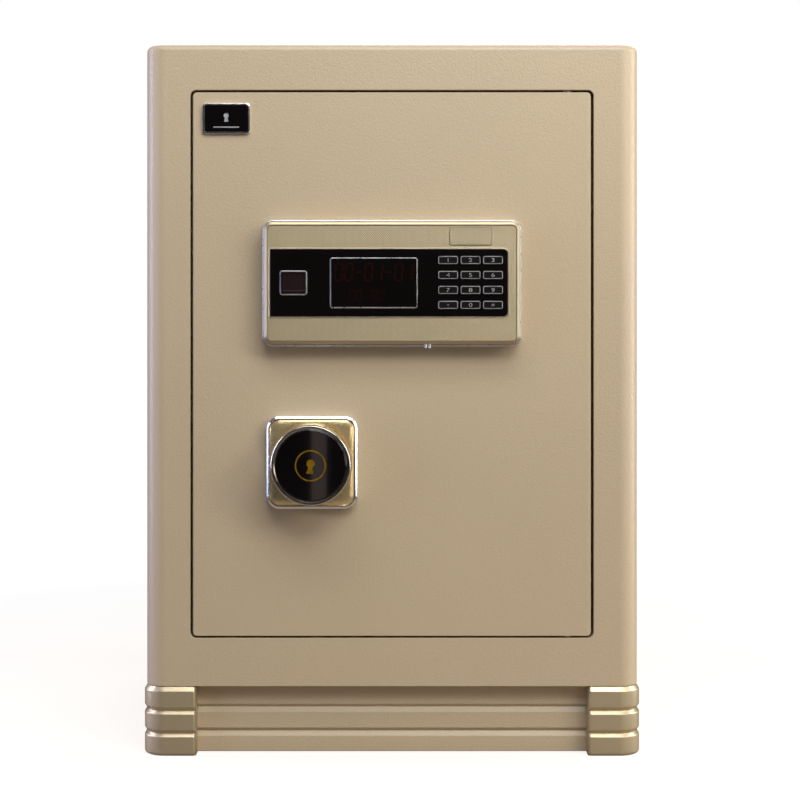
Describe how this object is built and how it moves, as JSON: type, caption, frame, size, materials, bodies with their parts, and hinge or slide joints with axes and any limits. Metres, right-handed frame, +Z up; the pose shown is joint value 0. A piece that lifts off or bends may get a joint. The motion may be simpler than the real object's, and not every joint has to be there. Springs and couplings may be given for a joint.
{
  "type": "electronic safe",
  "caption": "Free-standing steel safe on a ribbed plinth with corner feet, flush door, round knob driving sliding bolts, and a fingerprint and keypad lock panel.",
  "frame": {"origin": "on the floor, under the middle of the whole object's outer box", "axes": "+Z up, +X to the right as the door is faced, -Y out of the front of the door"},
  "size_m": [0.424, 0.418, 0.604],
  "materials": {
    "champagne_paint": "fine pebbled powder coat",
    "champagne_satin": "satin metallic lacquer",
    "bright_chrome": "polished",
    "black_gloss": "polished",
    "key_black": "satin with silver print",
    "zinc_steel": "zinc plated",
    "brass": "turned",
    "liner_paint": "flocked",
    "felt": "needle felt",
    "mineral_fill": "cast",
    "moulded_black": "fine spark grain",
    "circuit_board": "solder mask",
    "display_black": "polished",
    "sensor_glass": "polished",
    "battery_jacket": "printed sleeve"
  },
  "bodies": {
    "cabinet": {"cabinet_shell": "champagne_paint", "back_panel": "champagne_paint", "door_jamb": "champagne_paint", "wall_fill": "mineral_fill", "inner_liner": "liner_paint", "floor_mat": "felt", "shelf_clips": "zinc_steel", "plinth_skirt": "champagne_paint", "corner_feet": "champagne_satin", "hinge_bushes": "brass"},
    "shelf": {"shelf": "liner_paint"},
    "door": {"door_plate": "champagne_paint", "door_box": "zinc_steel", "door_back_cover": "liner_paint", "cover_screws": "zinc_steel", "hinge_pins": "zinc_steel", "fixed_bars": "bright_chrome", "bolt_guides": "brass", "lock_plate": "zinc_steel", "badge_frame": "bright_chrome", "badge_face": "black_gloss", "panel_trim": "bright_chrome", "panel_housing": "champagne_satin", "panel_glass": "black_gloss", "window_frames": "bright_chrome", "fingerprint_sensor": "sensor_glass", "display_module": "display_black", "control_board": "circuit_board", "override_lock": "zinc_steel", "power_contacts": "bright_chrome", "escutcheon": "champagne_satin", "solenoid": "moulded_black", "battery_box": "moulded_black", "batteries": "battery_jacket", "wire_loom": "moulded_black"},
    "knob": {"knob_ring": "bright_chrome", "knob_disc": "black_gloss", "knob_shaft": "zinc_steel", "bolt_cam": "zinc_steel"},
    "carriage": {"bolt_carriage": "zinc_steel", "live_bolts": "bright_chrome"},
    "top_bolt": {"top_bolt": "bright_chrome"},
    "bottom_bolt": {"bottom_bolt": "bright_chrome"},
    "plunger": {"plunger": "zinc_steel", "plunger_spring": "zinc_steel"},
    "service_cover": {"service_cover": "champagne_satin"},
    "override_plug": {"override_plug": "brass"},
    "battery_lid": {"battery_lid": "moulded_black"},
    "key_1": {"key_1": "key_black"},
    "key_2": {"key_2": "key_black"},
    "key_3": {"key_3": "key_black"},
    "key_4": {"key_4": "key_black"},
    "key_5": {"key_5": "key_black"},
    "key_6": {"key_6": "key_black"},
    "key_7": {"key_7": "key_black"},
    "key_8": {"key_8": "key_black"},
    "key_9": {"key_9": "key_black"},
    "key_star": {"key_star": "key_black"},
    "key_0": {"key_0": "key_black"},
    "key_hash": {"key_hash": "key_black"}
  },
  "joints": [
    {"name": "door_swing", "type": "hinge", "parent": "cabinet", "child": "door", "pos_m": [0.1493, -0.161, 0.3327], "axis": [0, 0, 1], "range_deg": [0, 110]},
    {"name": "shelf_lift", "type": "slide", "parent": "cabinet", "child": "shelf", "axis": [0, 0, 1], "range_m": [0, 0.03]},
    {"name": "knob_turn", "type": "hinge", "parent": "door", "child": "knob", "pos_m": [-0.0675, -0.171, 0.2498], "axis": [0, -1, 0], "range_deg": [0, 90]},
    {"name": "carriage_slide", "type": "slide", "parent": "door", "child": "carriage", "axis": [-1, 0, 0], "range_m": [0, 0.017]},
    {"name": "top_bolt_slide", "type": "slide", "parent": "door", "child": "top_bolt", "axis": [0, 0, 1], "range_m": [0, 0.017]},
    {"name": "bottom_bolt_slide", "type": "slide", "parent": "door", "child": "bottom_bolt", "axis": [0, 0, -1], "range_m": [0, 0.017]},
    {"name": "plunger_slide", "type": "slide", "parent": "door", "child": "plunger", "axis": [0, 0, 1], "range_m": [0, 0.006], "stiffness_N_per_m": 60, "deforming": ["plunger_spring"]},
    {"name": "service_cover_pull", "type": "slide", "parent": "door", "child": "service_cover", "axis": [0, -1, 0], "range_m": [0, 0.012]},
    {"name": "override_turn", "type": "hinge", "parent": "door", "child": "override_plug", "pos_m": [0.0658, -0.186, 0.4402], "axis": [0, 1, 0], "range_deg": [0, 90]},
    {"name": "battery_lid_slide", "type": "slide", "parent": "door", "child": "battery_lid", "axis": [-1, 0, 0], "range_m": [0, 0.06]},
    {"name": "key_1_press", "type": "slide", "parent": "door", "child": "key_1", "axis": [0, 1, 0], "range_m": [0, 0.001], "stiffness_N_per_m": 250},
    {"name": "key_2_press", "type": "slide", "parent": "door", "child": "key_2", "axis": [0, 1, 0], "range_m": [0, 0.001], "stiffness_N_per_m": 250},
    {"name": "key_3_press", "type": "slide", "parent": "door", "child": "key_3", "axis": [0, 1, 0], "range_m": [0, 0.001], "stiffness_N_per_m": 250},
    {"name": "key_4_press", "type": "slide", "parent": "door", "child": "key_4", "axis": [0, 1, 0], "range_m": [0, 0.001], "stiffness_N_per_m": 250},
    {"name": "key_5_press", "type": "slide", "parent": "door", "child": "key_5", "axis": [0, 1, 0], "range_m": [0, 0.001], "stiffness_N_per_m": 250},
    {"name": "key_6_press", "type": "slide", "parent": "door", "child": "key_6", "axis": [0, 1, 0], "range_m": [0, 0.001], "stiffness_N_per_m": 250},
    {"name": "key_7_press", "type": "slide", "parent": "door", "child": "key_7", "axis": [0, 1, 0], "range_m": [0, 0.001], "stiffness_N_per_m": 250},
    {"name": "key_8_press", "type": "slide", "parent": "door", "child": "key_8", "axis": [0, 1, 0], "range_m": [0, 0.001], "stiffness_N_per_m": 250},
    {"name": "key_9_press", "type": "slide", "parent": "door", "child": "key_9", "axis": [0, 1, 0], "range_m": [0, 0.001], "stiffness_N_per_m": 250},
    {"name": "key_star_press", "type": "slide", "parent": "door", "child": "key_star", "axis": [0, 1, 0], "range_m": [0, 0.001], "stiffness_N_per_m": 250},
    {"name": "key_0_press", "type": "slide", "parent": "door", "child": "key_0", "axis": [0, 1, 0], "range_m": [0, 0.001], "stiffness_N_per_m": 250},
    {"name": "key_hash_press", "type": "slide", "parent": "door", "child": "key_hash", "axis": [0, 1, 0], "range_m": [0, 0.001], "stiffness_N_per_m": 250}
  ],
  "couplings": [
    {"joint": "carriage_slide", "follows": "knob_turn", "m_per_rad": 0.01082},
    {"joint": "top_bolt_slide", "follows": "knob_turn", "m_per_rad": 0.01082},
    {"joint": "bottom_bolt_slide", "follows": "knob_turn", "m_per_rad": 0.01082}
  ]
}
